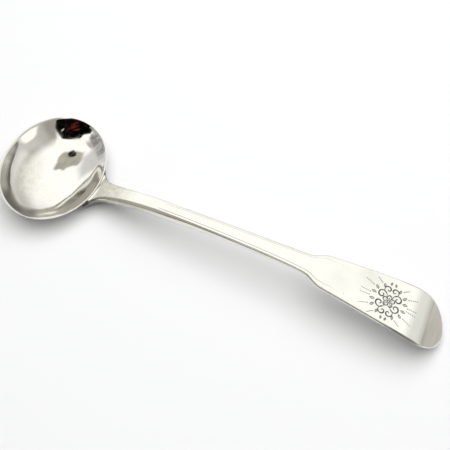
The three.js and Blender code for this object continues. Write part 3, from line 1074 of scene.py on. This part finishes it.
lit = wnode("ShaderNodeBackground")
wt.links.new(light, lit.inputs[0])
lit.inputs[1].default_value = 1.0
plain = wnode("ShaderNodeBackground")
plain.inputs[0].default_value = (1, 1, 1, 1)
plain.inputs[1].default_value = 1.0
# the even dome that lights the floor, a little stronger from behind and warm low down
dome = wnode("ShaderNodeBackground")
rise = wsmooth(wdot((0.0, 1.0, 0.0)), -1.0, 1.0, 0.21, 0.29)
haze = wmix(wsmooth(height, 0, 35), (0.89, 0.87, 0.86), (0.88, 0.90, 0.93))
wt.links.new(haze, dome.inputs[0])
wt.links.new(rise, dome.inputs[1])
path = wnode("ShaderNodeLightPath")
# light that reaches the floor by way of the silver is weak
shy = wnode("ShaderNodeBackground")
shy.inputs[0].default_value = (0.12, 0.115, 0.11, 1)
shy.inputs[1].default_value = 1.0
mirror = wnode("ShaderNodeMixShader")
wt.links.new(wmath("GREATER_THAN", path.outputs["Diffuse Depth"], 0.5), mirror.inputs[0])
wt.links.new(lit.outputs[0], mirror.inputs[1])
wt.links.new(shy.outputs[0], mirror.inputs[2])
inner_mix = wnode("ShaderNodeMixShader")
wt.links.new(path.outputs["Is Glossy Ray"], inner_mix.inputs[0])
wt.links.new(dome.outputs[0], inner_mix.inputs[1])
wt.links.new(mirror.outputs[0], inner_mix.inputs[2])
both = wnode("ShaderNodeMixShader")
wt.links.new(path.outputs["Is Camera Ray"], both.inputs[0])
wt.links.new(inner_mix.outputs[0], both.inputs[1])
wt.links.new(plain.outputs[0], both.inputs[2])
out = wnode("ShaderNodeOutputWorld")
wt.links.new(both.outputs[0], out.inputs[0])

def area(name, loc, target, size, power, color=(1, 1, 1)):
    data = bpy.data.lights.new(name, "AREA")
    data.shape = "DISK"
    data.size = size
    data.energy = power
    data.color = color
    ob = bpy.data.objects.new(name, data)
    ob.location = loc
    ob.rotation_euler = (Vector(target) - Vector(loc)).to_track_quat("-Z", "Y").to_euler()
    scene.collection.objects.link(ob)
    return ob


# two soft lamps, one above and one behind: they reach the floor, while the silver
# mirrors the tent
key = area("key_above", (0.0, 0.06, 0.47), (0, 0, 0), 0.74, 3.05, (0.998, 0.998, 0.998))
fill = area("key_behind", (-0.03, 0.30, 0.31), (0, 0, 0), 0.26, 0.26, (0.985, 0.99, 1.0))
key.visible_glossy = fill.visible_glossy = False  # only the floor and the dull parts take their light

# what hangs above the spoon on the camera's side, seen only in the silver
def card(name, corners, h, color, shade=None, soft=0.0, grain=40.0):
    """A card whose corners are (x, y) in mm at height h, or (x, y, z) with h None."""
    pts = [np.array([c[0], c[1], h if h is not None else c[2]]) * 1e-3 for c in corners]
    pts = [sum(pts) / len(pts)] + pts
    n = len(corners)
    faces = [(0, 1 + k, 1 + (k + 1) % n) for k in range(n)]
    me = bpy.data.meshes.new(name)
    me.from_pydata([tuple(v) for v in pts], [], faces)
    at = me.attributes.new("inner", "FLOAT", "POINT")
    at.data.foreach_set("value", np.array([1.0] + [0.0] * n, np.float32))
    ob = bpy.data.objects.new(name, me)
    scene.collection.objects.link(ob)
    mat = bpy.data.materials.new(name)
    mat.use_nodes = True
    tree = mat.node_tree
    tree.nodes.clear()
    nn = Nodes(tree)
    e = nn.add("ShaderNodeEmission")
    e.inputs[0].default_value = (*color, 1)
    cloud = nn.noise(grain * 1e-3, 4.0, 0.6)
    if shade:
        nn.link(nn.mix(nn.range(cloud, 0.35, 0.65), color, shade), e.inputs[0])
    end = e.outputs[0]
    if soft:
        clear = nn.add("ShaderNodeBsdfTransparent")
        mixed = nn.add("ShaderNodeMixShader")
        wavy = nn.math("MULTIPLY_ADD", nn.math("SUBTRACT", cloud, 0.5), 1.3 * soft, nn.attribute("inner"))
        nn.link(nn.range(wavy, 0.02, soft), mixed.inputs[0])
        nn.link(clear.outputs[0], mixed.inputs[1])
        nn.link(end, mixed.inputs[2])
        end = mixed.outputs[0]
    o = nn.add("ShaderNodeOutputMaterial")
    nn.link(end, o.inputs[0])
    me.materials.append(mat)
    ob.visible_camera = ob.visible_diffuse = ob.visible_shadow = False
    ob.visible_transmission = ob.visible_volume_scatter = False
    return ob


def stroke(name, a_, b_, wide_, h, color):
    """A thin streak from a to b in the plane at height h."""
    a_, b_ = np.array(a_, float), np.array(b_, float)
    t = (b_ - a_) / np.linalg.norm(b_ - a_)
    n = np.array([-t[1], t[0]]) * wide_ / 2
    m_ = (a_ + b_) / 2
    return card(name, [a_, m_ + n, b_, m_ - n], h, color)


card("black_card", [(90, -84), (76, -68), (61, -60), (18, -45), (-17, -34), (-55, -36), (-83, -34), (-84, -38), (-102, -36), (-101, -48), (-84, -60), (-62, -76), (-50, -92), (80, -92)], 131, (0.0008, 0.0008, 0.0008))
stroke("red_glow_low", (-34, -49.0), (-62, -52.0), 2.8, 129.5, (0.20, 0.030, 0.018))
stroke("red_glow_mid", (-10, -54), (-50, -58.5), 3.0, 129.5, (0.22, 0.034, 0.020))
stroke("red_glow_top", (-10, -60.5), (-42, -66.5), 3.0, 129.5, (0.18, 0.028, 0.017))
stroke("lens_glint", (10, -50.5), (3, -54.5), 2.2, 128.5, (2.6, 2.5, 1.9))
card("grey_card", [(-52, 31), (-48, 21), (-43, 9), (-44, 2), (-49, -3), (-62, -4), (-74, -5), (-87, -4), (-97, -2), (-102, 4), (-106, 11), (-108, 18), (-107, 23), (-92, 22), (-83, 26), (-80, 34), (-66, 31), (-60, 34)], 85, (0.35, 0.345, 0.30), (0.49, 0.475, 0.415), soft=0.22, grain=55.0)
card("dark_spot", [(-62, 1), (-62, -2), (-67, -5), (-73, -3), (-80, 1), (-81, 5), (-76, 7), (-69, 5)], 84, (0.012, 0.012, 0.010), soft=0.20)
card("blue_grey_card", [(-95, -40), (-99, -31), (-113, -23), (-130, -14), (-165, 4), (-205, 25), (-229, 38), (-290, 50), (-270, -20), (-190, -62), (-125, -62), (-103, -50)], 132, (0.17, 0.175, 0.18), (0.52, 0.52, 0.52), soft=0.40, grain=95.0)
card("blue_grey_fold", [(-98, -40), (-101, -31), (-113, -23), (-130, -15), (-150, -5), (-152, -12), (-130, -25), (-113, -34)], 130, (0.10, 0.103, 0.104), (0.30, 0.29, 0.26), soft=0.60, grain=130.0)
# beyond the tip: a pale grey screen standing on the table and the table before it
card("tip_screen", [(151 - 0.49 * w_, 58 + 0.87 * w_, z_) for w_, z_ in ((-160, -40), (160, -40), (160, 58), (-160, 58))], None, (0.52, 0.505, 0.465), (0.64, 0.62, 0.58), grain=25.0, soft=0.75)
card("tip_table", [(54, -26), (57, -8), (55, 20), (70, 60), (82, 180), (220, -60), (120, -60), (70, -40)], 0.3, (0.50, 0.475, 0.45), (0.60, 0.575, 0.55), grain=70.0)
